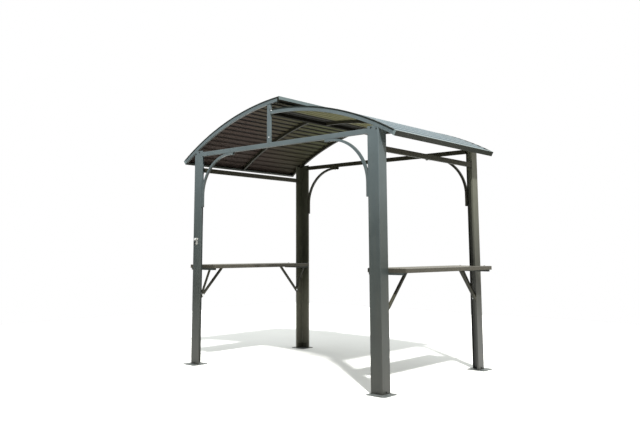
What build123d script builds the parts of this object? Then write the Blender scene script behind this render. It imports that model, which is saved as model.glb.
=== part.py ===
from build123d import *
from math import asin, cos, degrees, sin, sqrt
import os

# Open steel grill gazebo: four folded angle posts on bolted base plates, a shelf on each
# side and an arched roof of ribbed sheet in two levels, with a vent slot under the ridge.
# Millimetres. X runs along the front from left to right, Y to the back, Z up from the ground.

# Frame, over the outer faces of the posts
frame_width = 2116
frame_depth = 1523

# Folded angle posts, with flat heads a little above the tie beams
post_leg = 100
post_lip = 16
post_wall = 2
post_fold_radius = 6
post_head = 15

# Base plates, each with an angle shoe inside the post
plate_thickness = 4
plate_reach = 57
plate_corner_radius = 20
anchor_spacing = 140
anchor_edge = 15
anchor_hole_diameter = 12
shoe_leg = 60
shoe_height = 45
shoe_wall = 3

# Clearance between curved faces that seat on each other
seat_gap = 0.3

# Tie beams across the front and back, side beams, king posts and the purlin between them
tie_underside = 1895
tie_height = 40
tie_depth = 20
tie_setback = 3
side_beam_drop = 137
side_beam_height = 42
king_post_offset = -88
king_post_width = 40
purlin_height = 48
tube_corner_radius = 2.5

# Arched roof: the arc is the underside of the sheets and the top of the rafters
roof_radius = 2488
rafter_depth = 28
rafter_width = 20
heel_drop = 5
eave_overhang = 162
lower_ridge_rise = 247
ridge_step = 100
ridge_overhang = 106
ridge_rail_width = 20

# Ribbed sheet
sheet_wall = 1.2
rib_height = 10
rib_pitch = 66
rib_top_share = 0.27
rib_flank_share = 0.09

# Folded edge trims of the roof
trim_wall = 1.5
trim_flange = 20
verge_drop = 12
ridge_apron = 28

# Curved knee braces
brace_tube = 20
brace_wall = 1.5
brace_radius = 360
brace_upright_run = 105
brace_level_run = 53

# Side shelves, with the arms, struts and stays under them
shelf_inset = 194
shelf_outset = 159
shelf_top = 891
shelf_rim = 32
shelf_wall = 2
shelf_corner_radius = 12
shelf_edge_chamfer = 2
arm_inner_margin = 16
arm_outer_margin = 25
arm_width = 30
arm_height = 16
strut_tube = 20
strut_rise = 275
strut_run = 265
stay_tube = 15
stay_run = 100
stay_foot_inset = 13
stay_clearance = 4

# Bottle opener on the left front post
opener_height_on_post = 1108
opener_width = 36
opener_height = 62
opener_corner_radius = 14
opener_wall = 4
opener_reach = 26
opener_tooth_width = 16
opener_tooth_reach = 10

half_width = frame_width / 2
half_depth = frame_depth / 2
lip_face_x = half_width - post_leg
lip_face_y = half_depth - post_leg
beam_face = half_depth - tie_setback
tie_top = tie_underside + tie_height
plate_side = anchor_spacing + 2 * anchor_edge

rafter_under = roof_radius - rafter_depth
rib_rise = roof_radius + seat_gap + rib_height
trim_under = rib_rise + seat_gap
trim_top = trim_under + trim_wall
gable_face = half_depth + trim_wall
eave_end = half_width + eave_overhang

king_left_x = king_post_offset - king_post_width / 2
king_right_x = king_post_offset + king_post_width / 2
lower_ridge = tie_top + lower_ridge_rise
cap_x = king_right_x + ridge_overhang
cap_face_x = cap_x - trim_wall

shelf_underside = shelf_top - shelf_rim
arm_underside = shelf_underside - arm_height
strut_foot = shelf_top - shelf_wall - strut_rise
stay_foot = strut_foot + stay_tube * strut_rise / strut_run + stay_clearance


def arch_centre(heel, ridge):
    """Centre of the arc along the rafters' underside, through its heel and ridge points."""
    run = ridge[0] - heel[0]
    rise = ridge[1] - heel[1]
    chord = sqrt(run**2 + rise**2)
    drop = sqrt(rafter_under**2 - (chord / 2) ** 2)
    turn = 1 if run > 0 else -1
    middle_x = (heel[0] + ridge[0]) / 2
    middle_z = (heel[1] + ridge[1]) / 2
    return middle_x + turn * drop * rise / chord, middle_z - turn * drop * run / chord


heel_height = tie_top - heel_drop
centres = {
    "left": arch_centre((-half_width, heel_height), (cap_x, lower_ridge + ridge_step)),
    "right": arch_centre((half_width, heel_height), (king_right_x, lower_ridge)),
}
inward = {"left": 1, "right": -1}
eave_turns = {side: asin((-inward[side] * eave_end - centres[side][0]) / trim_top) for side in centres}


def window(x_from, x_to, z_from, z_to):
    """Upright rectangle between two places across the gazebo and two heights."""
    box = Rectangle(x_to - x_from, z_to - z_from, align=(Align.MIN, Align.MIN))
    return Pos(x_from, z_from) * box


def ring(side, inner, outer):
    """Ring between two radii about the centre of one roof half."""
    return Pos(*centres[side]) * (Circle(outer) - Circle(inner))


def eave_strip(side, near, far):
    """Strip square to the slope of one roof half, between two distances from its eave end."""
    x_from, x_to = sorted((inward[side] * near, inward[side] * far))
    strip = window(x_from, x_to, 0, 2 * trim_top)
    return Pos(*centres[side]) * Rot(0, 0, -degrees(eave_turns[side])) * strip


def arch_band(side, inner, outer, eave_gap, cap_gap):
    """Band of one roof half, from its eave end to the ridge cap or to the king posts' face."""
    if side == "left":
        between = window(-frame_width, cap_x - cap_gap, 0, 2 * trim_top)
    else:
        between = window(king_right_x, frame_width, 0, 2 * trim_top)
    return ring(side, inner, outer) & eave_strip(side, eave_gap, roof_radius) & between


def under_rafters(side, x_from, x_to):
    """Area under the rafters of one roof half, down to the ground."""
    return Pos(*centres[side]) * Circle(rafter_under - seat_gap) & window(x_from, x_to, 0, 2 * trim_top)


def along_y(section, y_from, y_to):
    """Run a section across the gazebo, drawn in X and Z, between two places along its depth."""
    return extrude(Plane.XZ.offset(-y_to) * section, amount=y_to - y_from)


def block(x_from, x_to, y_from, y_to, z_from, z_to):
    """Straight bar between opposite corners."""
    return along_y(window(x_from, x_to, z_from, z_to), y_from, y_to)


def rounded(bar):
    """Round the four long edges of a straight bar, as on a rolled tube."""
    return fillet(bar.edges().sort_by(SortBy.LENGTH)[-4:], tube_corner_radius)


def to_corner(shape, side, end):
    """Turn a piece made for the right back corner into the one for another corner."""
    if side == "left":
        shape = mirror(shape, about=Plane.YZ)
    if end == "front":
        shape = mirror(shape, about=Plane.XZ)
    return shape


def post(side, end):
    """Folded angle post with return lips, flat on top and cut off where the rafter rests on it."""
    leg_x = Rectangle(post_leg, post_wall, align=(Align.MAX, Align.MAX))
    leg_y = Rectangle(post_wall, post_leg, align=(Align.MAX, Align.MAX))
    lip_x = Pos(-post_leg, 0) * Rectangle(post_wall, post_lip, align=(Align.MIN, Align.MAX))
    lip_y = Pos(0, -post_leg) * Rectangle(post_lip, post_wall, align=(Align.MAX, Align.MIN))
    section = leg_x + leg_y + lip_x + lip_y
    outer_fold = section.vertices().sort_by_distance((0, 0, 0))[0]
    section = fillet(outer_fold, post_fold_radius)
    inner_fold = section.vertices().sort_by_distance((-post_wall, -post_wall, 0))[0]
    section = fillet(inner_fold, post_fold_radius - post_wall)
    shaft = extrude(section, tie_top + post_head - plate_thickness)
    shaft = to_corner(Pos(half_width, half_depth, plate_thickness) * shaft, side, end)
    return shaft & along_y(under_rafters(side, -half_width, half_width), -half_depth, half_depth)


def base_plate(side, end):
    """Anchor plate with rounded corners, four holes and an angle shoe inside the post."""
    plate = RectangleRounded(plate_side, plate_side, plate_corner_radius)
    holes = GridLocations(anchor_spacing, anchor_spacing, 2, 2) * Circle(anchor_hole_diameter / 2)
    middle = plate_reach - plate_side / 2
    foot = Pos(half_width + middle, half_depth + middle) * extrude(plate - holes, plate_thickness)
    shoe = Rectangle(shoe_leg, shoe_wall, align=(Align.MAX, Align.MAX))
    shoe += Rectangle(shoe_wall, shoe_leg, align=(Align.MAX, Align.MAX))
    shoe_fold = shoe.vertices().sort_by_distance((0, 0, 0))[0]
    shoe = fillet(shoe_fold, post_fold_radius)
    shoe_corner = Pos(half_width - post_wall, half_depth - post_wall, plate_thickness)
    foot += shoe_corner * extrude(shoe, shoe_height)
    return to_corner(foot, side, end)


def tie_beam(end):
    """Beam across the front or the back, between the lips of two posts."""
    beam = block(-lip_face_x, lip_face_x, beam_face - tie_depth, beam_face, tie_underside, tie_top)
    return to_corner(rounded(beam), "right", end)


def side_beam(side):
    """Beam along one side, between the lips of two posts."""
    face = half_width - tie_setback
    underside = tie_underside - side_beam_drop
    top = underside + side_beam_height
    beam = block(face - tie_depth, face, -lip_face_y, lip_face_y, underside, top)
    return to_corner(rounded(beam), side, "back")


def king_post(end):
    """Upright from the tie beam to the rafter of the upper roof half."""
    area = under_rafters("left", king_left_x, king_right_x)
    area &= window(king_left_x, king_right_x, tie_top, 2 * trim_top)
    return to_corner(rounded(along_y(area, beam_face - tie_depth, beam_face)), "right", end)


def ridge_purlin():
    """Beam between the king posts that carries the top of the lower roof half."""
    reach = beam_face - tie_depth
    top = lower_ridge + purlin_height
    return block(king_left_x, king_right_x, -reach, reach, lower_ridge, top)


def ridge_rail():
    """Rail along the top ends of the upper rafters, inside the ridge cap."""
    between = window(cap_face_x - ridge_rail_width, cap_face_x, 0, 2 * trim_top)
    return along_y(ring("left", rafter_under, roof_radius) & between, -half_depth, half_depth)


def rafter(side, place):
    """Curved bar under the sheet, at the front, in the middle or at the back."""
    middles = {"front": rafter_width / 2 - half_depth, "middle": 0, "back": half_depth - rafter_width / 2}
    y = middles[place]
    band = arch_band(side, rafter_under, roof_radius, trim_wall, trim_wall + ridge_rail_width)
    return along_y(band, y - rafter_width / 2, y + rafter_width / 2)


def roof_sheet(side):
    """Arched sheet with raised ribs along the depth of the gazebo."""
    base = roof_radius + seat_gap
    ridge_x = cap_x if side == "left" else king_right_x
    ridge_turn = asin((ridge_x - centres[side][0]) / base)
    start, finish = sorted((eave_turns[side], ridge_turn))
    count = round(base * (finish - start) / rib_pitch)
    step = (finish - start) / count
    pan_share = 1 - rib_top_share - 2 * rib_flank_share
    corner_shares = [pan_share / 2, pan_share / 2 + rib_flank_share]
    corner_shares += [1 - share for share in reversed(corner_shares)]
    lifts = [0, rib_height - sheet_wall, rib_height - sheet_wall, 0]
    turns = [start]
    radii = [base]
    for rib in range(count):
        turns += [start + step * (rib + share) for share in corner_shares]
        radii += [base + lift for lift in lifts]
    turns.append(finish)
    radii.append(base)
    lower = [(radius * sin(turn), radius * cos(turn)) for turn, radius in zip(turns, radii)]
    upper = [
        ((radius + sheet_wall) * sin(turn), (radius + sheet_wall) * cos(turn))
        for turn, radius in zip(turns, radii)
    ]
    section = Pos(*centres[side]) * make_face(Polyline(*lower, *reversed(upper), close=True))
    section &= arch_band(side, rafter_under, trim_under, trim_wall, trim_wall)
    return along_y(section, -half_depth, half_depth)


def verge_trim(end):
    """Folded edge strips over the ends of both sheets at one gable."""
    strips = []
    gap = trim_wall + trim_flange
    for side in centres:
        cover = arch_band(side, trim_under, trim_top, gap, gap)
        apron = arch_band(side, trim_top - verge_drop, trim_top, gap, gap)
        strip = along_y(cover, half_depth - trim_flange, half_depth) + along_y(apron, half_depth, gable_face)
        strips.append(to_corner(strip, "right", end))
    return Compound(children=strips)


def eave_trim(side):
    """Channel with end tabs that closes an eave, square to the slope, around the sheet and rafter ends."""
    floor_top = rafter_under - seat_gap
    floor_under = floor_top - trim_wall
    strip = eave_strip(side, 0, trim_wall + trim_flange)
    flanges = (ring(side, trim_under, trim_top) + ring(side, floor_under, floor_top)) & strip
    web = ring(side, floor_under, trim_top) & eave_strip(side, 0, trim_wall)
    end_tab = ring(side, floor_under, trim_top) & strip
    channel = along_y(flanges + web, -half_depth, half_depth)
    return channel + along_y(end_tab, half_depth, gable_face) + along_y(end_tab, -gable_face, -half_depth)


def ridge_trim():
    """Folded cap along the top edge of the upper sheet, with an apron over the ridge rail."""
    lid = ring("left", trim_under, trim_top) & window(cap_face_x - trim_flange, cap_x, 0, 2 * trim_top)
    apron = ring("left", trim_top - ridge_apron, trim_top) & window(cap_face_x, cap_x, 0, 2 * trim_top)
    return along_y(lid + apron, -gable_face, gable_face)


def knee_brace(side, end):
    """Square tube bent through a right angle, open at both ends, between a post and the tie beam."""
    outer = brace_radius + brace_tube / 2
    bend_x = lip_face_x - outer
    bend_z = tie_underside - outer
    bend = Circle(outer) - Circle(outer - brace_tube)
    bend &= Rectangle(outer, outer, align=(Align.MIN, Align.MIN))
    foot = bend_z - brace_upright_run
    level_end = bend_x - brace_level_run
    upright = window(lip_face_x - brace_tube, lip_face_x, foot, bend_z)
    level = window(level_end, bend_x, tie_underside - brace_tube, tie_underside)
    tube = along_y(Pos(bend_x, bend_z) * bend + upright + level, beam_face - brace_tube, beam_face)
    y_from = beam_face - brace_tube + brace_wall
    y_to = beam_face - brace_wall
    tube -= block(lip_face_x - brace_tube + brace_wall, lip_face_x - brace_wall, y_from, y_to, foot, bend_z)
    bore_top = tie_underside - brace_wall
    tube -= block(level_end, bend_x, y_from, y_to, tie_underside - brace_tube + brace_wall, bore_top)
    return to_corner(tube, side, end)


def shelf(side):
    """Tray with turned-down rims, across one side between the posts."""
    width = shelf_inset + shelf_outset
    outline = RectangleRounded(width, 2 * lip_face_y, shelf_corner_radius)
    hollow = RectangleRounded(
        width - 2 * shelf_wall, 2 * (lip_face_y - shelf_wall), shelf_corner_radius - shelf_wall
    )
    tray = extrude(outline, shelf_rim)
    tray = chamfer(tray.faces().sort_by(Axis.Z)[-1].edges(), shelf_edge_chamfer)
    tray -= extrude(hollow, shelf_rim - shelf_wall)
    return to_corner(Pos(half_width + shelf_outset - width / 2, 0, shelf_underside) * tray, side, "back")


def shelf_arms(side):
    """Two open channels across the shelf, under its ends."""
    x_from = half_width - shelf_inset + arm_inner_margin
    x_to = half_width + shelf_outset - arm_outer_margin
    y_from = lip_face_y - arm_width
    shell = block(x_from, x_to, y_from, lip_face_y, arm_underside, shelf_underside)
    core = block(
        x_from,
        x_to,
        y_from + shelf_wall,
        lip_face_y - shelf_wall,
        arm_underside,
        shelf_underside - shelf_wall,
    )
    return Compound(children=[to_corner(shell - core, side, end) for end in ("front", "back")])


def shelf_strut(side, end):
    """Sloping tube from a post's lip up to the underside of the shelf."""
    slope = sqrt(strut_rise**2 + strut_run**2)
    height_at_foot = strut_tube * slope / strut_run
    width_at_head = strut_tube * slope / strut_rise
    head_y = lip_face_y - strut_run
    outline = Polyline(
        (lip_face_y, strut_foot),
        (head_y, strut_foot + strut_rise),
        (head_y - width_at_head, strut_foot + strut_rise),
        (lip_face_y, strut_foot - height_at_foot),
        close=True,
    )
    tube = extrude(Plane.YZ.offset(half_width - strut_tube) * make_face(outline), strut_tube)
    return to_corner(rounded(tube), side, end)


def shelf_stays(side):
    """Two short sloping bars, each from a post's lip up to a shelf arm."""
    foot_x = half_width - stay_foot_inset
    top_x = foot_x - stay_run
    rise = arm_underside - stay_foot
    half = stay_tube * sqrt(stay_run**2 + rise**2) / rise / 2
    outline = Polyline(
        (foot_x - half, stay_foot),
        (foot_x + half, stay_foot),
        (top_x + half, arm_underside),
        (top_x - half, arm_underside),
        close=True,
    )
    bar = along_y(make_face(outline), lip_face_y - stay_tube, lip_face_y)
    return Compound(children=[to_corner(bar, side, end) for end in ("front", "back")])


def bottle_opener():
    """Cast opener: a back plate, a hood over the bottle's cap and a tooth that lifts the cap."""
    back = RectangleRounded(opener_width, opener_height, opener_corner_radius)
    plate = extrude(Plane.XZ * back, opener_wall)
    quarter = Rectangle(opener_reach, opener_reach, align=(Align.MIN, Align.MIN))
    arch = (Circle(opener_reach) - Circle(opener_reach - opener_wall)) & quarter
    arch = Pos(0, opener_height / 2 - opener_reach) * Rot(0, 0, 90) * arch
    hood = extrude(Plane.YZ * arch, opener_width / 2 - opener_wall, both=True)
    tooth_under = opener_corner_radius - opener_height / 2
    tooth = Polyline(
        (0, tooth_under - opener_wall),
        (-opener_wall - opener_tooth_reach, tooth_under),
        (-opener_wall - opener_tooth_reach, tooth_under + opener_wall),
        (0, tooth_under + opener_wall),
        close=True,
    )
    tooth = extrude(Plane.YZ * make_face(tooth), opener_tooth_width / 2, both=True)
    return Pos(post_leg / 2 - half_width, -half_depth, opener_height_on_post) * (plate + hood + tooth)


os.makedirs("parts", exist_ok=True)
nodes = {}
for end in ("front", "back"):
    nodes[f"tie_beam_{end}"] = tie_beam(end)
    nodes[f"king_post_{end}"] = king_post(end)
    nodes[f"verge_trim_{end}"] = verge_trim(end)
    for side in ("left", "right"):
        corner = f"{end}_{side}"
        nodes[f"post_{corner}"] = post(side, end)
        nodes[f"base_plate_{corner}"] = base_plate(side, end)
        nodes[f"knee_brace_{corner}"] = knee_brace(side, end)
        nodes[f"shelf_strut_{corner}"] = shelf_strut(side, end)
for side in ("left", "right"):
    nodes[f"side_beam_{side}"] = side_beam(side)
    nodes[f"roof_sheet_{side}"] = roof_sheet(side)
    nodes[f"eave_trim_{side}"] = eave_trim(side)
    nodes[f"shelf_{side}"] = shelf(side)
    nodes[f"shelf_arms_{side}"] = shelf_arms(side)
    nodes[f"shelf_stays_{side}"] = shelf_stays(side)
    for place in ("front", "middle", "back"):
        nodes[f"rafter_{side}_{place}"] = rafter(side, place)
nodes["ridge_purlin"] = ridge_purlin()
nodes["ridge_rail"] = ridge_rail()
nodes["ridge_trim"] = ridge_trim()
nodes["bottle_opener"] = bottle_opener()
for name, shape in nodes.items():
    export_step(shape, f"parts/{name}.step")
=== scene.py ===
"""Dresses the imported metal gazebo: coats, zinc, bolts, roof screws and a plain stage."""

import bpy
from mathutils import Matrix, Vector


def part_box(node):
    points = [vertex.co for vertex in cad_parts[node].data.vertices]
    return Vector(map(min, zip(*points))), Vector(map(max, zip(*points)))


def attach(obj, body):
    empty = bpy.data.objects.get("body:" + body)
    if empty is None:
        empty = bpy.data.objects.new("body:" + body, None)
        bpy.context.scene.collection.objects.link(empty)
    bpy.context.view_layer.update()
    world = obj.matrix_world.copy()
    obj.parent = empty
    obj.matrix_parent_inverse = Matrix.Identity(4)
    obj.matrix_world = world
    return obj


bl_info = {
    "name": "Metal gazebo dressing",
    "version": (1, 0, 0),
    "blender": (4, 5, 0),
    "location": "View3D > Sidebar > Gazebo",
    "description": "Coats the steel, adds the fasteners and sets a plain stage for a metal gazebo",
    "category": "Object",
}

from math import atan2, cos, pi, radians, sin, sqrt

import bpy
from bpy.props import FloatProperty, FloatVectorProperty, IntProperty, PointerProperty
from mathutils import Vector

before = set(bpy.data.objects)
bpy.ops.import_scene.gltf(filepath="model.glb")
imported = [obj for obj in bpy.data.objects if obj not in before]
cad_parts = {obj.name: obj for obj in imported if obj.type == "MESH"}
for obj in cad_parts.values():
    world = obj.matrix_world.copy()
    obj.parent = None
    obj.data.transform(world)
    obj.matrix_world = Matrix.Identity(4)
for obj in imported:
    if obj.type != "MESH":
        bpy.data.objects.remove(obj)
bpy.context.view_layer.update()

MM = 0.001
# Metres from the middle from which a straight line finds where a fastener sits.
FAR = 3.0
ENDS = ("front", "back")
SIDES = ("left", "right")
UP = Vector((0, 0, 1))
DOWN = Vector((0, 0, -1))


def linear(code):
    """Linear colour of an sRGB hex code."""
    values = [int(code[i : i + 2], 16) / 255 for i in (0, 2, 4)]
    return [v / 12.92 if v <= 0.04045 else ((v + 0.055) / 1.055) ** 2.4 for v in values]


def coat(name, description, code):
    """Colour property with an sRGB hex default."""
    return FloatVectorProperty(
        name=name, description=description, subtype="COLOR", size=3, min=0, max=1, default=linear(code)
    )


def length(name, description, millimetres):
    """Length property with a default in millimetres."""
    return FloatProperty(
        name=name, description=description, unit="LENGTH", min=0, precision=4, default=millimetres * MM
    )


class GazeboFinishes(bpy.types.PropertyGroup):
    """Colours of the gazebo's coats and metals."""

    # The frame coat's two colours are painted light and shade: lighter and bluer near the roof, darker
    # towards the foot.
    frame_high: coat("Frame coat", "Anthracite powder coat of the frame, bleached near the roof", "4c5557")
    frame_low: coat("Lower frame coat", "The same coat where hands and soil have dulled it", "1b1e1a")
    # Painted light: the back right post's coat is lighter and yellower than the front posts' up the post, and
    # darker at its foot.
    frame_back: coat("Back frame coat", "The same coat on the back right post, yellowed by smoke", "56574b")
    frame_back_low: coat("Worn frame coat", "The foot of the back right post, dulled by soil", "212220")
    # Painted shade and light: the back left post's coat is darker and browner than the front posts', and
    # paler at its foot.
    frame_dim: coat("Dim frame coat", "The same coat on the back left post, under the smoke", "3d3e33")
    frame_dim_low: coat("Splashed frame coat", "Foot of the back left post, paled by dry splashes", "5c5b50")
    # Painted shade: a darker olive copy of the frame coat for the pieces under the roof and shelves.
    frame_shaded: coat("Shaded frame coat", "The same coat under roof and shelves, filmed by smoke", "232217")
    # Painted shade: a near-black copy of the frame coat for the ridge purlin and rail.
    frame_ridge_painted_shade: coat("Smoked frame coat", "The same coat at the ridge, where the smoke leaves", "100f0b")
    # Painted shade: a near-black olive laid on faces that look down, where shade falls under them.
    painted_underside_shade: coat("Unwashed film", "Film on faces that look down, where no rain reaches", "16170d")
    roof_top: coat("Roof top coat", "Outer coil coat of the roof sheets", "586469")
    # Painted reflected light: the backing is reddish brown at the front of the high half, olive at its rear,
    # and a lighter khaki on the low half.
    roof_back_left: coat("Left backing coat", "Backing coat of the high half, browned by smoke", "372a23")
    roof_back_rear: coat("Rear backing coat", "Backing coat of the high half's rear, greened", "3d3f25")
    roof_back_right: coat("Right backing coat", "Backing coat of the low half, still nearly clean", "5e5d3f")
    # Smoke colour: random smoke clouds on the backing, and painted shade in the rib hollows and across the
    # sheets.
    smoke_and_painted_shade: coat("Smoke", "Film that grill smoke leaves in the rib hollows and at the ridge", "080706")
    trim_coat: coat("Trim coat", "Folded eave and ridge trims", "586262")
    edge_coat: coat("Edge coat", "Dark folded edging of the gables", "101715")
    shelf_coat: coat("Shelf coat", "Powder coat of the two shelves", "35332d")
    dust: coat("Dust", "Dry dust on faces that look up", "6a6450")
    soil: coat("Soil", "Soil splashed on the feet", "2a2823")
    zinc: coat("Zinc", "Hot-dip zinc of the base plates", "626563")
    zinc_dull: coat("Dull zinc", "Weathered crystals in the zinc", "454947")
    # Bright zinc: zinc plate, and on the strut and gable bolts also a painted glint.
    bolt_zinc: coat("Bolt zinc", "Bright zinc plate of bolts and washers", "d8dada")
    # Near-black given to the post bolts as painted shade.
    bolt_dark: coat("Bolt black", "Black oxide of the bolts on the posts", "131413")
    nickel: coat("Nickel", "Bright plating of the bottle opener", "d6d5d0")
    seal: coat("Seal", "Rubber washer under a roof screw", "141415")


class GazeboFasteners(bpy.types.PropertyGroup):
    """Sizes and spacing of the small fasteners."""

    bolt_width: length("Bolt width", "Hexagon of a brace bolt across its flats", 13)
    bolt_height: length("Bolt height", "Height of a brace bolt's head", 8)
    washer_width: length("Washer width", "Outside diameter of a brace bolt's washer", 18)
    washer_height: length("Washer height", "Thickness of a steel washer", 1.6)
    small_width: length("Small bolt width", "Hexagon of the bolts on posts and struts", 8)
    small_height: length("Small bolt height", "Height of a small bolt's head", 4)
    small_washer: length("Small washer width", "Washer of a small bolt", 12)
    screw_width: length("Roof screw width", "Hexagon of a roof screw", 8)
    screw_height: length("Roof screw height", "Height of a roof screw's head", 4.5)
    seal_width: length("Seal width", "Rubber-backed washer of a roof screw", 14)
    seal_height: length("Seal height", "Thickness of the seal washer", 2.4)
    rivet_width: length("Rivet width", "Domed head of a trim rivet", 8)
    rivet_height: length("Rivet height", "Height of a rivet's dome", 1.6)
    rivet_rim: length("Rivet rim", "Thin rim under a domed head", 0.4)
    rivet_spacing: length("Rivet spacing", "Distance between rivets along the eaves and ridge", 240)
    coach_width: length("Coach bolt width", "Domed bolt heads on the shelves", 16)
    coach_height: length("Coach bolt height", "Height of a domed bolt head", 3.6)
    pans_per_screw: IntProperty(
        name="Pans per screw", description="A roof screw sits in every so many pans", default=3, min=1
    )
    seed: IntProperty(name="Seed", description="Fixes how far each head was turned", default=7)


class GazeboStage(bpy.types.PropertyGroup):
    """Floor, light and camera."""

    floor_size: length("Floor size", "Side of the square floor", 11000)
    floor_colour: coat("Floor", "Plain pale floor", "cfcec9")
    sky_colour: coat("Overhead", "Soft light from overhead", "eef3f6")
    front_colour: coat("Front", "Weak light from in front and the left, near the horizon", "5d605a")
    side_colour: coat("Side", "Stronger light from the right and behind, near the horizon", "e4e0d2")
    ground_colour: coat("Ground", "Weak light from below the horizon", "3a3a32")
    sky_strength: FloatProperty(name="Sky strength", description="Strength of overhead light", default=2.0)
    low_strength: FloatProperty(name="Low strength", description="Strength near the horizon", default=1.0)
    sun_strength: FloatProperty(name="Sun strength", description="Strength of the key light", default=8.4)
    sun_softness: FloatProperty(
        name="Sun softness", description="Angle that the key light fills", subtype="ANGLE", default=radians(3)
    )
    sun_direction: FloatVectorProperty(
        name="Sun direction", description="From the gazebo towards the key light", subtype="DIRECTION",
        default=(0.525, -0.438, 0.730),
    )
    camera_place: FloatVectorProperty(
        name="Camera place", description="Where the camera stands", subtype="TRANSLATION",
        default=(4.043, -4.964, 1.016),
    )
    camera_turn: FloatProperty(
        name="Camera turn", description="Turn to the left from straight ahead", subtype="ANGLE",
        default=radians(42.14),
    )
    camera_tilt: FloatProperty(
        name="Camera tilt", description="Tilt above the horizon", subtype="ANGLE", default=radians(7.68)
    )
    lens: FloatProperty(name="Lens", description="Focal length in mm on a 36 mm sensor", default=39.25)
    shift_x: FloatProperty(name="Shift across", description="Sideways lens shift", default=0.0364)
    shift_y: FloatProperty(name="Shift up", description="Upward lens shift", default=-0.0881)


def add(tree, kind, sockets=None, **settings):
    """Add a node with its settings; a socket takes a value, a colour, an output or a node's first output."""
    node = tree.nodes.new(kind)
    for name, value in settings.items():
        setattr(node, name, value)
    shown = [socket for socket in node.inputs if socket.enabled]
    for key, value in (sockets or {}).items():
        socket = shown[key] if isinstance(key, int) else next(s for s in shown if s.name == key)
        if isinstance(value, bpy.types.Node):
            value = next(output for output in value.outputs if output.enabled)
        if isinstance(value, bpy.types.NodeSocket):
            tree.links.new(value, socket)
        elif socket.type == "RGBA":
            socket.default_value = (*value, 1)
        else:
            socket.default_value = value
    return node


def patches(tree, place, millimetres, low=0.0, high=1.0, stretch=(1, 1, 1), detail=4.0, edge=(0.3, 0.7)):
    """Soft random patches of a real size, from low to high; stretch draws them out along an axis."""
    drawn = add(tree, "ShaderNodeMapping", {"Vector": place, "Scale": stretch})
    scale = 1 / (millimetres * MM)
    noise = add(
        tree, "ShaderNodeTexNoise", {"Vector": drawn, "Scale": scale, "Detail": detail, "Roughness": 0.6}
    )
    limits = {"From Min": edge[0], "From Max": edge[1], "To Min": low, "To Max": high}
    return add(tree, "ShaderNodeMapRange", {"Value": noise, **limits})


def surface(name, paint, metallic=0.0, specular=0.5):
    """Material whose colour, roughness and relief come from paint, given the node tree and place."""
    material = bpy.data.materials.new(name)
    material.use_nodes = True
    tree = material.node_tree
    tree.nodes.clear()
    place = add(tree, "ShaderNodeTexCoord").outputs["Object"]
    colour, rough, relief, depth = paint(tree, place)
    bump = add(tree, "ShaderNodeBump", {"Strength": 1.0, "Distance": depth * MM, "Height": relief})
    shader = add(
        tree, "ShaderNodeBsdfPrincipled",
        {
            "Base Color": colour, "Roughness": rough, "Normal": bump,
            "Metallic": metallic, "Specular IOR Level": specular,
        },
    )
    add(tree, "ShaderNodeOutputMaterial", {"Surface": shader})
    return material


def powder_coat(
    name, upper, lower, finishes, dust_share=0.3, painted_shade_share=0.7, gloss=0.3, specular=0.5, rise=(0, 2)
):
    """Powder-coated steel, from its lower colour to its upper one over a rise in metres."""
    # Baked powder gives a satin skin with a fine orange peel. It clouds a little where it was handled,
    # rain draws faint runs down it, dust settles on faces that look up and soil splashes on the feet.
    # Faces that look down get painted shade, and where the lower and upper colours differ, the change
    # between them is painted light and shade.

    def paint(tree, place):
        height = add(tree, "ShaderNodeSeparateXYZ", {0: place}).outputs["Z"]
        facing = add(tree, "ShaderNodeNewGeometry").outputs["Normal"]
        upward = add(tree, "ShaderNodeSeparateXYZ", {0: facing}).outputs["Z"]
        clouds = patches(tree, place, 260)
        runs = patches(tree, place, 22, 0, 0.05, stretch=(1, 1, 0.05), detail=3, edge=(0.5, 0.8))
        level = {"From Min": 0.5, "From Max": 0.95, "To Max": dust_share}
        level = add(tree, "ShaderNodeMapRange", {"Value": upward, **level})
        settled = add(
            tree, "ShaderNodeMath", {0: level, 1: patches(tree, place, 90, 0.55, 1)}, operation="MULTIPLY"
        )
        # Painted shade: faces that look down are mixed towards a near-black olive.
        level = {"From Min": -0.1, "From Max": -0.4, "To Max": painted_shade_share}
        film_and_painted_shade = add(tree, "ShaderNodeMapRange", {"Value": upward, **level})
        level = {"From Min": 0.26, "From Max": 0.01, "To Max": 0.5}
        level = add(tree, "ShaderNodeMapRange", {"Value": height, **level})
        splash = add(
            tree, "ShaderNodeMath", {0: level, 1: patches(tree, place, 34, 0.1, 1)}, operation="MULTIPLY"
        )

        # Painted light and shade: where the lower and upper colours differ, the coat grows lighter upward
        # over the rise.
        level = add(tree, "ShaderNodeMapRange", {"Value": height, "From Min": rise[0], "From Max": rise[1]})
        level = add(tree, "ShaderNodeMath", {0: level, 1: 2.0}, operation="POWER")
        colour = add(tree, "ShaderNodeMix", {"Factor": level, "A": lower, "B": upper}, data_type="RGBA")
        shade = add(tree, "ShaderNodeMapRange", {"Value": clouds, "To Min": 0.9, "To Max": 1.1})
        colour = add(tree, "ShaderNodeVectorMath", {"Vector": colour, "Scale": shade}, operation="SCALE")
        for share, over in (
            (runs, finishes.dust), (settled, finishes.dust),
            (film_and_painted_shade, finishes.painted_underside_shade), (splash, finishes.soil),
        ):
            colour = add(
                tree, "ShaderNodeMix", {"Factor": share, "A": colour, "B": over}, data_type="RGBA"
            )
        worn = add(tree, "ShaderNodeMapRange", {"Value": clouds, "To Min": gloss, "To Max": gloss + 0.1})
        rough = add(tree, "ShaderNodeMath", {0: worn, 1: settled}, operation="ADD")
        # Real orange peel is under 2 mm across; 5 mm is the finest that shows in a render.
        return colour, rough, patches(tree, place, 5, detail=1), 0.012

    return surface(name, paint, specular=specular)


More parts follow.
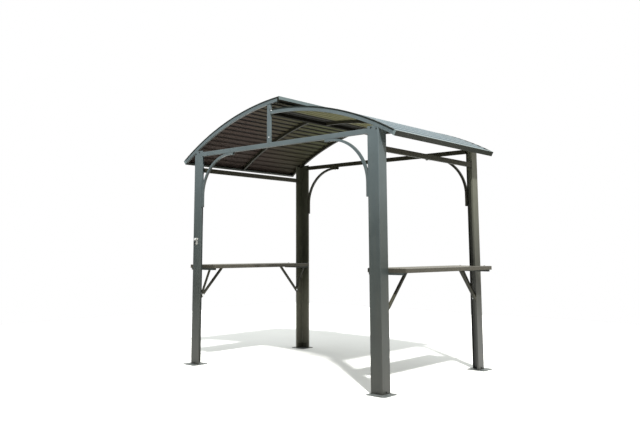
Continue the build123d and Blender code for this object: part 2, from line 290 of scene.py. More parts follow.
def coil_coated_sheet(name, axis, radius, back_coat, rear_coat, hollow_shade_share, fade, finishes):
    """Coil-coated roof steel."""
    # Coated in the flat and then rolled: a smooth satin outside and a thin dull backing coat inside, with
    # random smoke clouds on the backing and dust drawn down the outer pans by rain. The hollows under the
    # ribs and a band across each sheet are darkened as painted shade, and the backing's tints are painted
    # reflected light.

    def paint(tree, place):
        out = add(tree, "ShaderNodeVectorMath", {0: place, 1: (axis.x, 0, axis.z)}, operation="SUBTRACT")
        out = add(tree, "ShaderNodeVectorMath", {0: out, 1: (1, 0, 1)}, operation="MULTIPLY")
        reach = add(tree, "ShaderNodeVectorMath", {0: out}, operation="LENGTH")
        facing = add(tree, "ShaderNodeNewGeometry").outputs["Normal"]
        outward = add(tree, "ShaderNodeVectorMath", {0: facing, 1: out}, operation="DOT_PRODUCT")
        outside = add(tree, "ShaderNodeMath", {0: outward, 1: 0.0}, operation="GREATER_THAN")
        across = add(tree, "ShaderNodeSeparateXYZ", {0: place}).outputs["X"]
        # Painted shade across the sheet: towards the eave on the high half and towards the ridge on the low
        # half.
        start, end, darkest, flattest = fade
        level = {"From Min": start, "From Max": end, "To Max": darkest}
        painted_shade_across = add(tree, "ShaderNodeMapRange", {"Value": across, **level})
        level = {"From Min": start, "From Max": end, "To Min": hollow_shade_share, "To Max": flattest}
        strength = add(tree, "ShaderNodeMapRange", {"Value": across, **level})
        # Painted shade in the hollows under the ribs.
        ribs = {"From Min": radius + 0.8 * MM, "From Max": radius + PAN_RISE * MM, "To Max": strength}
        hollow = add(tree, "ShaderNodeMapRange", {"Value": reach, **ribs})
        # Painted reflected light: the backing turns from the front colour to the rear colour towards the back
        # and the right.
        rear = add(tree, "ShaderNodeVectorMath", {0: place, 1: (1, 0.7, 0)}, operation="DOT_PRODUCT")
        rear = add(tree, "ShaderNodeMapRange", {"Value": rear, "From Min": -0.95, "From Max": -0.2})
        back = add(tree, "ShaderNodeMix", {"Factor": rear, "A": back_coat, "B": rear_coat}, data_type="RGBA")
        clouds = patches(tree, place, 310, 0, 0.2)
        for share in (clouds, hollow, painted_shade_across):
            back = add(
                tree, "ShaderNodeMix", {"Factor": share, "A": back, "B": finishes.smoke_and_painted_shade}, data_type="RGBA"
            )
        drawn = patches(tree, place, 160, 0, 0.15, stretch=(0.25, 1, 0.25), edge=(0.42, 0.75))
        top = add(
            tree, "ShaderNodeMix", {"Factor": drawn, "A": finishes.roof_top, "B": finishes.dust},
            data_type="RGBA",
        )
        colour = add(tree, "ShaderNodeMix", {"Factor": outside, "A": back, "B": top}, data_type="RGBA")
        smooth = add(tree, "ShaderNodeMapRange", {"Value": clouds, "To Min": 0.28, "To Max": 0.5})
        rough = add(tree, "ShaderNodeMix", {"Factor": outside, "A": 0.85, "B": smooth}, data_type="FLOAT")
        # Rolling leaves the pans slightly uneven, in waves about 120 mm long.
        return colour, rough, patches(tree, place, 120, detail=1), 0.2

    return surface(name, paint, specular=0.3)


def hot_dip_zinc(name, finishes, plate_top):
    """Hot-dip galvanised steel."""
    # Zinc freezes in flat crystals about 12 mm across that catch the light one by one. Out of doors
    # it greys, soil dries in a film round the anchors, and the shoe is coated with the post it holds.

    def paint(tree, place):
        height = add(tree, "ShaderNodeSeparateXYZ", {0: place}).outputs["Z"]
        crystals = add(tree, "ShaderNodeTexVoronoi", {"Vector": place, "Scale": 1 / (12 * MM)})
        tone = add(tree, "ShaderNodeSeparateColor", {0: crystals.outputs["Color"]})
        film_and_painted_shade = patches(tree, place, 55, 0, 0.5, edge=(0.45, 0.7))
        edges = {"From Min": plate_top + 0.2 * MM, "From Max": plate_top + 0.8 * MM}
        shoe = add(tree, "ShaderNodeMapRange", {"Value": height, **edges})
        colour = finishes.zinc
        for share, over in ((tone, finishes.zinc_dull), (film_and_painted_shade, finishes.soil), (shoe, finishes.frame_dim)):
            colour = add(
                tree, "ShaderNodeMix", {"Factor": share, "A": colour, "B": over}, data_type="RGBA"
            )
        rough = add(tree, "ShaderNodeMapRange", {"Value": tone, "To Min": 0.4, "To Max": 0.6})
        return colour, rough, tone, 0.05

    return surface(name, paint, metallic=0.25)


def plated_casting(name, metal, grime):
    """Bright nickel on a steel casting."""
    # Plating copies the sand-cast skin below it: bright, softly pitted, dulled by fingers.

    def paint(tree, place):
        smears = patches(tree, place, 16, 0, 0.35, edge=(0.45, 0.75))
        colour = add(tree, "ShaderNodeMix", {"Factor": smears, "A": metal, "B": grime}, data_type="RGBA")
        rough = add(tree, "ShaderNodeMapRange", {"Value": smears, "To Min": 0.2, "To Max": 0.6})
        return colour, rough, patches(tree, place, 4, detail=2), 0.1

    return surface(name, paint, metallic=0.85)


def plated_steel(name, metal, bloom_colour, metallic=0.85):
    """Plated steel, as on bolts and washers."""
    # Electroplate is even, with faint turning marks and a chalky bloom in places.

    def paint(tree, place):
        bloom = patches(tree, place, 9, 0, 0.6)
        colour = add(
            tree, "ShaderNodeMix", {"Factor": bloom, "A": metal, "B": bloom_colour}, data_type="RGBA"
        )
        rough = add(tree, "ShaderNodeMapRange", {"Value": bloom, "To Min": 0.26, "To Max": 0.6})
        # Turning marks are finer than a render shows; they are drawn 1.5 mm apart.
        return colour, rough, patches(tree, place, 1.5, detail=1), 0.01

    return surface(name, paint, metallic=metallic)


def rubber(name, finishes):
    """Moulded rubber, as in the seals under roof screws."""
    # Black and matt, paling where the sun has dried it.

    def paint(tree, place):
        pale = patches(tree, place, 6, 0, 0.25)
        colour = add(
            tree, "ShaderNodeMix", {"Factor": pale, "A": finishes.seal, "B": finishes.dust}, data_type="RGBA"
        )
        rough = add(tree, "ShaderNodeMapRange", {"Value": pale, "To Min": 0.7, "To Max": 0.9})
        return colour, rough, patches(tree, place, 2, detail=1), 0.02

    return surface(name, paint)


def finish_nodes(names, material):
    """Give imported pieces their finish."""
    for name in names:
        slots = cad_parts[name].material_slots
        if not slots:
            raise RuntimeError(f"{name} has no material slot")
        for slot in slots:
            slot.material = material


def nodes_called(*starts):
    """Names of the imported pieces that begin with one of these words."""
    names = sorted(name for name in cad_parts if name.startswith(starts))
    if not names:
        raise RuntimeError(f"no packed piece is called {starts}")
    return names


def on_surface(node, start, towards):
    """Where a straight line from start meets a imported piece, and the way its surface faces there."""
    towards = Vector(towards)
    view = bpy.context.evaluated_depsgraph_get()
    found, point, normal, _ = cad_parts[node].ray_cast(Vector(start), towards, depsgraph=view)
    if not found:
        raise RuntimeError(f"{node} isn't met from {tuple(start)}")
    return point, -normal if normal.dot(towards) > 0 else normal


def roof_arc(side):
    """Axis and outer radius of a roof half's middle rafter."""
    points = [vertex.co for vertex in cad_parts[f"rafter_{side}_middle"].data.vertices]
    top = max(points, key=lambda p: p.z)
    edge = max(points, key=lambda p: abs(p.x))
    chord = (edge - top).normalized()
    across = Vector((-chord.z, 0, chord.x))
    across *= 1 if across.z > 0 else -1
    crown = max(points, key=lambda p: (p - top).dot(across))
    (ax, az), (bx, bz), (cx, cz) = ((p.x, p.z) for p in (top, crown, edge))
    twice = 2 * (ax * (bz - cz) + bx * (cz - az) + cx * (az - bz))
    a, b, c = ax**2 + az**2, bx**2 + bz**2, cx**2 + cz**2
    x = (a * (bz - cz) + b * (cz - az) + c * (az - bz)) / twice
    z = (a * (cx - bx) + b * (ax - cx) + c * (bx - ax)) / twice
    return Vector((x, 0, z)), sqrt((ax - x) ** 2 + (az - z) ** 2)


# Pans are looked for along a line this far behind the middle, in small steps round the arc; a spot that
# rises less than this above the rafters, in millimetres, lies in a pan.
PAN_LINE = 60
PAN_STEPS = 1400
PAN_RISE = 4


def pan_turns(side, axis, radius):
    """Angles, from upright, of the middles of the low pans between a roof half's ribs."""
    sheet = f"roof_sheet_{side}"
    low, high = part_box(sheet)
    across = 1 if side == "right" else -1
    edge = high.x if across > 0 else low.x
    last = atan2(abs(edge - axis.x), low.z - axis.z)
    off_rafters = Vector((0, PAN_LINE * MM, 0))
    middles, run = [], []
    for step in range(PAN_STEPS):
        turn = across * last * step / PAN_STEPS
        out = Vector((sin(turn), 0, cos(turn)))
        found, point, _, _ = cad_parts[sheet].ray_cast(axis + out * (radius + FAR) + off_rafters, -out)
        if found and (point - axis - off_rafters).length < radius + PAN_RISE * MM:
            run.append(turn)
        elif run:
            middles.append(sum(run) / len(run))
            run = []
    if not middles:
        raise RuntimeError(f"{sheet} shows no pans")
    return middles


# Stacked rings of a head: sides, radius below, radius above and height, as shares of width and height.
HEXAGON = ((6, 0.577, 0.577, 0.82), (6, 0.577, 0.48, 0.18))
DOME = ((16, 0.5, 0.47, 0.3), (16, 0.47, 0.33, 0.42), (16, 0.33, 0.12, 0.28))
WASHER_SIDES = 20


def head_tree(name, rings):
    """Geometry Nodes tree that stands a fastener's head, on its washer, on every point."""
    tree = bpy.data.node_groups.new(name, "GeometryNodeTree")
    inputs = {
        "Points": "Geometry", "Head Width": "Float", "Head Height": "Float", "Washer Width": "Float",
        "Washer Height": "Float", "Seed": "Int", "Head Finish": "Material", "Washer Finish": "Material",
    }
    for title, kind in inputs.items():
        tree.interface.new_socket(title, in_out="INPUT", socket_type=f"NodeSocket{kind}")
    tree.interface.new_socket("Heads", in_out="OUTPUT", socket_type="NodeSocketGeometry")
    given = add(tree, "NodeGroupInput").outputs

    half = add(tree, "ShaderNodeMath", {0: given["Washer Width"], 1: 0.5}, operation="MULTIPLY")
    washer = add(
        tree, "GeometryNodeMeshCone",
        {
            "Vertices": WASHER_SIDES, "Radius Top": half, "Radius Bottom": half,
            "Depth": given["Washer Height"],
        },
    )
    parts = [(washer, given["Washer Finish"])]
    base = given["Washer Height"]
    for sides, below, above, height in rings:
        low = add(tree, "ShaderNodeMath", {0: given["Head Width"], 1: below}, operation="MULTIPLY")
        high = add(tree, "ShaderNodeMath", {0: given["Head Width"], 1: above}, operation="MULTIPLY")
        depth = add(tree, "ShaderNodeMath", {0: given["Head Height"], 1: height}, operation="MULTIPLY")
        ring = add(
            tree, "GeometryNodeMeshCone",
            {"Vertices": sides, "Radius Bottom": low, "Radius Top": high, "Depth": depth},
        )
        lift = add(tree, "ShaderNodeCombineXYZ", {"Z": base})
        raised = add(tree, "GeometryNodeTransform", {"Geometry": ring, "Translation": lift})
        parts.append((raised, given["Head Finish"]))
        base = add(tree, "ShaderNodeMath", {0: base, 1: depth}, operation="ADD")
    whole = add(tree, "GeometryNodeJoinGeometry")
    for solid, finish in parts:
        dressed = add(tree, "GeometryNodeSetMaterial", {"Geometry": solid, "Material": finish})
        tree.links.new(dressed.outputs[0], whole.inputs[0])

    axis = add(tree, "GeometryNodeInputNamedAttribute", {"Name": "axis"}, data_type="FLOAT_VECTOR")
    upright = add(tree, "FunctionNodeAlignRotationToVector", {"Vector": axis}, axis="Z")
    turn = add(
        tree, "FunctionNodeRandomValue", {"Max": radians(60), "Seed": given["Seed"]}, data_type="FLOAT"
    )
    spin = add(tree, "FunctionNodeAxisAngleToRotation", {"Axis": UP, "Angle": turn})
    rotation = add(
        tree, "FunctionNodeRotateRotation", {"Rotation": upright, "Rotate By": spin}, rotation_space="LOCAL"
    )
    placed = add(
        tree, "GeometryNodeInstanceOnPoints",
        {"Points": given["Points"], "Instance": whole, "Rotation": rotation},
    )
    real = add(tree, "GeometryNodeRealizeInstances", {"Geometry": placed})
    add(tree, "NodeGroupOutput", {"Heads": real})
    return tree


def fasten(name, places, rings, sizes, finishes):
    """Plain mesh of like fasteners on their points, riding on the frame."""
    mesh = bpy.data.meshes.new(name)
    mesh.from_pydata([point for point, _ in places], [], [])
    axis = mesh.attributes.new("axis", "FLOAT_VECTOR", "POINT")
    for datum, (_, normal) in zip(axis.data, places):
        datum.vector = normal
    piece = bpy.data.objects.new(name, mesh)
    bpy.context.scene.collection.objects.link(piece)
    tree = head_tree(f"{name}_heads", rings)
    heads = piece.modifiers.new("Heads", "NODES")
    heads.node_group = tree
    values = dict(zip(("Head Width", "Head Height", "Washer Width", "Washer Height"), sizes))
    values["Seed"] = bpy.context.scene.gazebo_fasteners.seed
    values["Head Finish"], values["Washer Finish"] = finishes
    for socket in tree.interface.items_tree:
        if socket.name in values:
            heads[socket.identifier] = values[socket.name]
    view = bpy.context.evaluated_depsgraph_get()
    solid = bpy.data.meshes.new_from_object(piece.evaluated_get(view), depsgraph=view)
    piece.modifiers.clear()
    piece.data = solid
    solid.name = name
    if not solid.polygons:
        raise RuntimeError(f"{name} came out empty")
    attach(piece, "root")


# Millimetres from the edges of the piece that a fastener holds.
POST_HEAD_BOLTS = ((66, 13), (18, 26))
POST_FOOT_RISE = 14
POST_FOOT_GABLE_INSET = 47
POST_FOOT_SIDE_INSET = 50
LIP_BOLT_INSET = 8
LIP_BOLT_OFF_BEAM = 9
BRACE_TIP_INSETS = (10, 42)
BRACE_FOOT_RISE = 14
STRUT_FOOT_INSET = 12
KING_POST_INSET = 14
KING_POST_RISE = 46
VERGE_BOLT_OFFSET = 16
ARM_SIDE_INSET = 15
ARM_END_INSET = 40
OPENER_SCREW_RISES = (8, 30)
RIDGE_RIVET_INSET = 16


def signs(end, side):
    """Which way a corner lies from the middle, across and in depth."""
    return (1 if side == "right" else -1), (1 if end == "back" else -1)


class GAZEBO_OT_coat_frame(bpy.types.Operator):
    """Powder-coat the posts, beams, rafters, braces, arms, struts and stays"""

    bl_idname = "gazebo.coat_frame"
    bl_label = "Coat the frame"

    def execute(self, context):
        f = context.scene.gazebo_finishes
        clean = powder_coat("powder_coated_steel", f.frame_high, f.frame_low, f)
        names = nodes_called(
            "post_front_", "tie_beam_front", "king_post_", "rafter_left_front", "rafter_right_front",
            "knee_brace_front_", "shelf_arms_",
        )
        finish_nodes(names, clean)
        # The back right post gets a lit copy of the coat: painted light up the post, darker at the foot.
        back_right_painted_light = powder_coat("back_right_coat_painted_light", f.frame_back, f.frame_back_low, f)
        finish_nodes(["post_back_right"], back_right_painted_light)
        # The back left post gets a shaded copy of the coat, with painted light at its foot.
        splashed = powder_coat("back_left_coat_painted_light", f.frame_dim, f.frame_dim_low, f, rise=(0.25, 0.8))
        finish_nodes(["post_back_left"], splashed)
        # The back beams, inner rafters, back braces, struts and stays get a painted-shade copy of the coat.
        shaded = powder_coat(
            "shaded_powder_coat", f.frame_shaded, f.frame_shaded, f, gloss=0.42, specular=0.3
        )
        names = nodes_called(
            "tie_beam_back", "side_beam_", "knee_brace_back_", "rafter_left_middle", "rafter_left_back",
            "rafter_right_middle", "rafter_right_back", "shelf_strut_", "shelf_stays_",
        )
        finish_nodes(names, shaded)
        # The ridge purlin and rail get a near-black copy of the coat as painted shade.
        ridge_painted_shade = powder_coat(
            "ridge_coat_painted_shade", f.frame_ridge_painted_shade, f.frame_ridge_painted_shade, f, gloss=0.6, specular=0.05
        )
        finish_nodes(["ridge_purlin", "ridge_rail"], ridge_painted_shade)
        return {"FINISHED"}


class GAZEBO_OT_coat_roof(bpy.types.Operator):
    """Give the two arched roof sheets their outer and backing coats"""

    bl_idname = "gazebo.coat_roof"
    bl_label = "Coat the roof sheets"

    def execute(self, context):
        f = context.scene.gazebo_finishes
        # Painted shade in the rib hollows, then where across the roof it starts and ends to change, and at
        # that end how dark the painted shade makes the whole back and how much of it the hollows keep.
        backs = {
            "left": (f.roof_back_left, f.roof_back_rear, 0.96, (-0.55, -1.05, 0.3, 0.2)),
            "right": (f.roof_back_right, f.roof_back_right, 0.08, (0.09, 0.02, 0.95, 0.08)),
        }
        for side, back in backs.items():
            axis, radius = roof_arc(side)
            sheet = coil_coated_sheet(f"coil_coated_steel_{side}", axis, radius, *back, f)
            finish_nodes([f"roof_sheet_{side}"], sheet)
        return {"FINISHED"}


class GAZEBO_OT_coat_trims(bpy.types.Operator):
    """Coat the folded verge, eave and ridge trims"""

    bl_idname = "gazebo.coat_trims"
    bl_label = "Coat the trims"

    def execute(self, context):
        f = context.scene.gazebo_finishes
        # The trims' faces that look down carry strong painted shade.
        trim = powder_coat(
            "coated_folded_trim", f.trim_coat, f.trim_coat, f,
            dust_share=0.15, painted_shade_share=0.95, specular=0.1,
        )
        finish_nodes(nodes_called("eave_trim_", "ridge_trim"), trim)
        edging = powder_coat("dark_folded_edging", f.edge_coat, f.edge_coat, f, dust_share=0.15)
        finish_nodes(nodes_called("verge_trim_"), edging)
        return {"FINISHED"}


class GAZEBO_OT_coat_shelves(bpy.types.Operator):
    """Coat the two shelves"""

    bl_idname = "gazebo.coat_shelves"
    bl_label = "Coat the shelves"

    def execute(self, context):
        f = context.scene.gazebo_finishes
        finish = powder_coat(
            "powder_coated_shelf", f.shelf_coat, f.shelf_coat, f, dust_share=0.15, gloss=0.1
        )
        finish_nodes(["shelf_left", "shelf_right"], finish)
        return {"FINISHED"}


class GAZEBO_OT_galvanise_plates(bpy.types.Operator):
    """Give the base plates their hot-dip zinc"""

    bl_idname = "gazebo.galvanise_plates"
    bl_label = "Galvanise the base plates"

    def execute(self, context):
        post_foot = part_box("post_front_left")[0].z
        finish = hot_dip_zinc("hot_dip_galvanised_steel", context.scene.gazebo_finishes, post_foot)
        finish_nodes(nodes_called("base_plate_"), finish)
        return {"FINISHED"}


class GAZEBO_OT_plate_opener(bpy.types.Operator):
    """Plate the bottle opener and fix it with two screws"""

    bl_idname = "gazebo.plate_opener"
    bl_label = "Plate the bottle opener"

    def execute(self, context):
        f = context.scene.gazebo_finishes
        s = context.scene.gazebo_fasteners
        finish_nodes(["bottle_opener"], plated_casting("nickel_plated_casting", f.nickel, f.zinc_dull))
        low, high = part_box("bottle_opener")
        middle = (low.x + high.x) / 2
        places = []
        for rise in OPENER_SCREW_RISES:
            start = (middle, -FAR, low.z + rise * MM)
            places.append(on_surface("bottle_opener", start, (0, 1, 0)))
        steel = plated_steel("zinc_plated_screws", f.bolt_zinc, f.zinc)
        sizes = (s.rivet_width, s.rivet_height, s.rivet_width, s.rivet_rim)
        fasten("opener_screws", places, DOME, sizes, (steel, steel))
        return {"FINISHED"}


class GAZEBO_OT_add_frame_bolts(bpy.types.Operator):
    """Bolt the beams, braces, struts and king posts together"""

    bl_idname = "gazebo.add_frame_bolts"
    bl_label = "Add the frame bolts"

    def execute(self, context):
        f = context.scene.gazebo_finishes
        s = context.scene.gazebo_fasteners
        braces, feet, bright, dark = [], [], [], []
        for end in ENDS:
            for side in SIDES:
                across, depth = signs(end, side)
                dark += self.post_bolts(end, side, across, depth)
                braces += self.brace_bolts(f"knee_brace_{end}_{side}", across)
                feet.append(self.strut_bolt(f"shelf_strut_{end}_{side}", across, depth))
            bright += self.gable_bolts(end, depth)
        # The bolt finishes differ by place: bright zinc on the strut and gable bolts is zinc plate and
        # painted glint, and near-black on the post bolts is painted shade.
        zinc = plated_steel("zinc_bolts_and_painted_glint", f.bolt_zinc, f.zinc, metallic=0.3)
        black = plated_steel("dark_post_bolts_painted_shade", f.bolt_dark, f.frame_low, metallic=0.4)
        small = (s.small_width, s.small_height, s.small_washer, s.washer_height)
        wide = (s.bolt_width, s.bolt_height, s.washer_width, s.washer_height)
        dull = plated_steel("weathered_zinc_bolts", f.zinc, f.zinc_dull)
        fasten("brace_bolts", braces, HEXAGON, small, (dull, dull))
        fasten("strut_bolts", feet, HEXAGON, wide, (zinc, zinc))
        fasten("frame_bolts", bright, HEXAGON, small, (zinc, zinc))
        fasten("post_bolts", dark, HEXAGON, small, (black, black))
        return {"FINISHED"}

    def post_bolts(self, end, side, across, depth):
        """Two bolts under the rafter, one in each leg at the foot, and two on the lip by the side beam."""
        post = f"post_{end}_{side}"
        low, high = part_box(post)
        x = high.x if across > 0 else low.x
        y = high.y if depth > 0 else low.y
        beam_low, beam_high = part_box(f"side_beam_{side}")
        to_gable, to_side, to_lip = (0, -depth, 0), (-across, 0, 0), (0, depth, 0)
        lines = [
            ((x - across * inset * MM, depth * FAR, high.z - drop * MM), to_gable)
            for inset, drop in POST_HEAD_BOLTS
        ]
        foot = low.z + POST_FOOT_RISE * MM
        lines.append(((x - across * POST_FOOT_GABLE_INSET * MM, depth * FAR, foot), to_gable))
        lines.append(((across * FAR, y - depth * POST_FOOT_SIDE_INSET * MM, foot), to_side))
        for level in (beam_high.z + LIP_BOLT_OFF_BEAM * MM, beam_low.z - LIP_BOLT_OFF_BEAM * MM):
            lines.append(((x - across * LIP_BOLT_INSET * MM, 0, level), to_lip))
        return [on_surface(post, start, towards) for start, towards in lines]

    def brace_bolts(self, brace, across):
        """Two bolts up into the tie beam and one across into the post's lip."""
        low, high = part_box(brace)
        middle = (low.y + high.y) / 2
        tip = low.x if across > 0 else high.x
        lines = [((tip + across * inset * MM, middle, 0), UP) for inset in BRACE_TIP_INSETS]
        lines.append(((0, middle, low.z + BRACE_FOOT_RISE * MM), (across, 0, 0)))
        return [on_surface(brace, start, towards) for start, towards in lines]

    def strut_bolt(self, strut, across, depth):
        """One bolt in the side of a strut's foot that looks inward."""
        low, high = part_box(strut)
        x = (low.x + high.x) / 2
        y = (high.y if depth > 0 else low.y) - depth * STRUT_FOOT_INSET * MM
        below = on_surface(strut, (x, y, 0), UP)[0]
        above = on_surface(strut, (x, y, FAR), DOWN)[0]
        return on_surface(strut, (0, y, (below.z + above.z) / 2), (across, 0, 0))

    def gable_bolts(self, end, depth):
        """One bolt at the king post's foot and one through the verge at the low ridge."""
        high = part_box(f"king_post_{end}")[1]
        tie_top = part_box(f"tie_beam_{end}")[1].z
        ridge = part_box(f"rafter_right_{end}")[1].z
        foot = (high.x - KING_POST_INSET * MM, depth * FAR, tie_top + KING_POST_RISE * MM)
        top = (high.x + VERGE_BOLT_OFFSET * MM, depth * FAR, ridge)
        towards = (0, -depth, 0)
        return [on_surface(f"king_post_{end}", foot, towards), on_surface(f"verge_trim_{end}", top, towards)]


class GAZEBO_OT_add_shelf_bolts(bpy.types.Operator):
    """Hold each shelf to its arms with domed coach bolts"""

    bl_idname = "gazebo.add_shelf_bolts"
    bl_label = "Add the shelf bolts"

    def execute(self, context):
        f = context.scene.gazebo_finishes
        s = context.scene.gazebo_fasteners
        places = []
        for side in SIDES:
            low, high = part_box(f"shelf_arms_{side}")
            for y in (low.y + ARM_SIDE_INSET * MM, high.y - ARM_SIDE_INSET * MM):
                for x in (low.x + ARM_END_INSET * MM, high.x - ARM_END_INSET * MM):
                    places.append(on_surface(f"shelf_{side}", (x, y, FAR), DOWN))
        coated = powder_coat("coated_coach_bolts", f.shelf_coat, f.shelf_coat, f)
        sizes = (s.coach_width, s.coach_height, s.coach_width, s.rivet_rim)
        fasten("shelf_bolts", places, DOME, sizes, (coated, coated))
        return {"FINISHED"}


class GAZEBO_OT_add_roof_screws(bpy.types.Operator):
    """Screw the sheets to the middle rafters on rubber seals, and rivet the verge trims"""

    bl_idname = "gazebo.add_roof_screws"
    bl_label = "Add the roof screws"

    def execute(self, context):
        f = context.scene.gazebo_finishes
        s = context.scene.gazebo_fasteners
        screws, rivets = [], []
        for side in SIDES:
            axis, radius = roof_arc(side)
            for turn in pan_turns(side, axis, radius)[1 :: s.pans_per_screw]:
                out = Vector((sin(turn), 0, cos(turn)))
                for line in ("front", "middle", "back"):
                    low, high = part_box(f"rafter_{side}_{line}")
                    start = axis + out * (radius + FAR)
                    start.y = (low.y + high.y) / 2
                    if line == "middle":
                        screws.append(on_surface(f"roof_sheet_{side}", start, -out))
                    else:
                        rivets.append(on_surface(f"verge_trim_{line}", start, -out))
        coated = powder_coat("coated_roof_screws", f.trim_coat, f.trim_coat, f)
        sizes = (s.screw_width, s.screw_height, s.seal_width, s.seal_height)
        fasten("roof_screws", screws, HEXAGON, sizes, (coated, rubber("rubber_seals", f)))
        sizes = (s.rivet_width, s.rivet_height, s.rivet_width, s.rivet_rim)
        fasten("verge_rivets", rivets, DOME, sizes, (coated, coated))
        return {"FINISHED"}


class GAZEBO_OT_add_trim_rivets(bpy.types.Operator):
    """Rivet the eave and ridge trims"""

    bl_idname = "gazebo.add_trim_rivets"
    bl_label = "Add the trim rivets"

    def execute(self, context):
        f = context.scene.gazebo_finishes
        s = context.scene.gazebo_fasteners
        low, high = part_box("ridge_trim")
        count = int((high.y - low.y) / s.rivet_spacing)
        lines = [s.rivet_spacing * (step - (count - 1) / 2) for step in range(count)]
        places = []
        for side in SIDES:
            across = signs("front", side)[0]
            eave_low, eave_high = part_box(f"eave_trim_{side}")
            level = (eave_low.z + eave_high.z) / 2
            for y in lines:
                places.append(on_surface(f"eave_trim_{side}", (across * FAR, y, level), (-across, 0, 0)))
        for y in lines:
            places.append(on_surface("ridge_trim", (low.x + RIDGE_RIVET_INSET * MM, y, FAR), DOWN))
        coated = powder_coat("coated_rivets", f.frame_low, f.frame_low, f)
        sizes = (s.rivet_width, s.rivet_height, s.rivet_width, s.rivet_rim)
        fasten("trim_rivets", places, DOME, sizes, (coated, coated))
        return {"FINISHED"}


SENSOR_WIDTH = 36
VIEW_END = 200
# Level direction, to the right and behind, from which the low light is strongest.
BRIGHT_SIDE = (0.5, 0.866, 0)


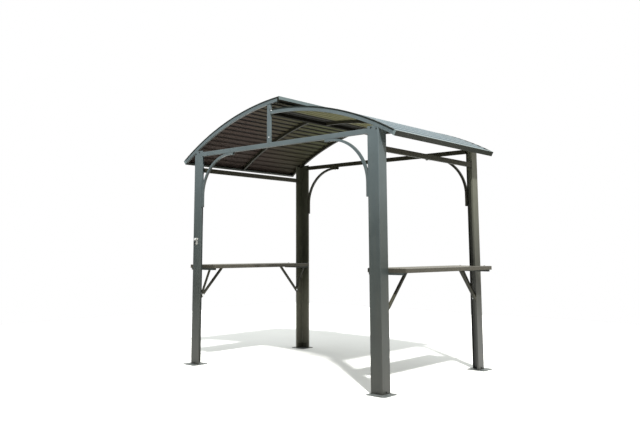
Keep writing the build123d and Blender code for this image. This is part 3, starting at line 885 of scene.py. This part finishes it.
class GAZEBO_OT_set_stage(bpy.types.Operator):
    """Set the pale floor, the soft light and the camera"""

    bl_idname = "gazebo.set_stage"
    bl_label = "Set the stage"

    def execute(self, context):
        scene = context.scene
        stage = scene.gazebo_stage
        self.lay_floor(scene, stage)
        self.light(scene, stage)
        camera = bpy.data.objects.new("camera", bpy.data.cameras.new("camera"))
        scene.collection.objects.link(camera)
        camera.location = stage.camera_place
        camera.rotation_euler = (pi / 2 + stage.camera_tilt, 0, stage.camera_turn)
        camera.data.sensor_width = SENSOR_WIDTH
        camera.data.lens = stage.lens
        camera.data.shift_x = stage.shift_x
        camera.data.shift_y = stage.shift_y
        camera.data.clip_end = VIEW_END
        scene.camera = camera
        scene.view_settings.view_transform = "Standard"
        return {"FINISHED"}

    def lay_floor(self, scene, stage):
        """Plain pale floor under the base plates."""
        half = stage.floor_size / 2
        corners = [(-half, -half, 0), (half, -half, 0), (half, half, 0), (-half, half, 0)]
        mesh = bpy.data.meshes.new("floor")
        mesh.from_pydata(corners, [], [(0, 1, 2, 3)])
        floor = bpy.data.objects.new("floor", mesh)
        scene.collection.objects.link(floor)

        def paint(tree, place):
            # Pale seamless studio floor: matt, with the least mottling.
            mottle = patches(tree, place, 900, 0.95, 1)
            colour = add(
                tree, "ShaderNodeVectorMath", {"Vector": stage.floor_colour, "Scale": mottle},
                operation="SCALE",
            )
            rough = add(tree, "ShaderNodeMapRange", {"Value": mottle, "To Min": 0.8, "To Max": 0.9})
            return colour, rough, mottle, 0.01

        mesh.materials.append(surface("pale_studio_floor", paint))

    def light(self, scene, stage):
        """Soft sky, weaker in front near the horizon, a white surround and one soft key light."""
        world = bpy.data.worlds.new("studio")
        world.use_nodes = True
        scene.world = world
        tree = world.node_tree
        tree.nodes.clear()
        way = add(tree, "ShaderNodeTexCoord").outputs["Generated"]
        height = add(tree, "ShaderNodeSeparateXYZ", {0: way}).outputs["Z"]
        aside = add(tree, "ShaderNodeVectorMath", {0: way, 1: BRIGHT_SIDE}, operation="DOT_PRODUCT")
        aside = add(tree, "ShaderNodeMapRange", {"Value": aside, "From Min": -0.3, "From Max": 0.6})
        low = add(
            tree, "ShaderNodeMix", {"Factor": aside, "A": stage.front_colour, "B": stage.side_colour},
            data_type="RGBA",
        )
        above = add(tree, "ShaderNodeMapRange", {"Value": height, "From Min": -0.1, "From Max": 0})
        low = add(
            tree, "ShaderNodeMix", {"Factor": above, "A": stage.ground_colour, "B": low}, data_type="RGBA"
        )
        low = add(tree, "ShaderNodeBackground", {"Color": low, "Strength": stage.low_strength})
        high = add(tree, "ShaderNodeBackground", {"Color": stage.sky_colour, "Strength": stage.sky_strength})
        overhead = add(tree, "ShaderNodeMapRange", {"Value": height, "From Min": 0.2, "From Max": 0.75})
        soft = add(tree, "ShaderNodeMixShader", {0: overhead, 1: low, 2: high})
        white = add(tree, "ShaderNodeBackground", {"Color": (1, 1, 1), "Strength": 1.0})
        seen = add(tree, "ShaderNodeLightPath").outputs["Is Camera Ray"]
        mixed = add(tree, "ShaderNodeMixShader", {0: seen, 1: soft, 2: white})
        add(tree, "ShaderNodeOutputWorld", {"Surface": mixed})

        lamp = bpy.data.lights.new("key", "SUN")
        lamp.energy = stage.sun_strength
        lamp.angle = stage.sun_softness
        key = bpy.data.objects.new("key", lamp)
        scene.collection.objects.link(key)
        key.rotation_mode = "QUATERNION"
        key.rotation_quaternion = Vector(stage.sun_direction).to_track_quat("Z", "Y")


OPERATORS = (
    GAZEBO_OT_coat_frame,
    GAZEBO_OT_coat_roof,
    GAZEBO_OT_coat_trims,
    GAZEBO_OT_coat_shelves,
    GAZEBO_OT_galvanise_plates,
    GAZEBO_OT_plate_opener,
    GAZEBO_OT_add_frame_bolts,
    GAZEBO_OT_add_shelf_bolts,
    GAZEBO_OT_add_roof_screws,
    GAZEBO_OT_add_trim_rivets,
    GAZEBO_OT_set_stage,
)


class GAZEBO_PT_dressing(bpy.types.Panel):
    """Lists the steps that dress the gazebo"""

    bl_idname = "GAZEBO_PT_dressing"
    bl_label = "Metal gazebo"
    bl_space_type = "VIEW_3D"
    bl_region_type = "UI"
    bl_category = "Gazebo"

    def draw(self, context):
        for operator in OPERATORS:
            self.layout.operator(operator.bl_idname)


CLASSES = (GazeboFinishes, GazeboFasteners, GazeboStage, *OPERATORS, GAZEBO_PT_dressing)


def register():
    for cls in CLASSES:
        bpy.utils.register_class(cls)
    bpy.types.Scene.gazebo_finishes = PointerProperty(type=GazeboFinishes)
    bpy.types.Scene.gazebo_fasteners = PointerProperty(type=GazeboFasteners)
    bpy.types.Scene.gazebo_stage = PointerProperty(type=GazeboStage)


def unregister():
    del bpy.types.Scene.gazebo_stage
    del bpy.types.Scene.gazebo_fasteners
    del bpy.types.Scene.gazebo_finishes
    for cls in reversed(CLASSES):
        bpy.utils.unregister_class(cls)


def main():
    register()
    bpy.ops.gazebo.coat_frame()
    bpy.ops.gazebo.coat_roof()
    bpy.ops.gazebo.coat_trims()
    bpy.ops.gazebo.coat_shelves()
    bpy.ops.gazebo.galvanise_plates()
    bpy.ops.gazebo.plate_opener()
    bpy.ops.gazebo.add_frame_bolts()
    bpy.ops.gazebo.add_shelf_bolts()
    bpy.ops.gazebo.add_roof_screws()
    bpy.ops.gazebo.add_trim_rivets()
    bpy.ops.gazebo.set_stage()


if __name__ == "__main__":
    main()
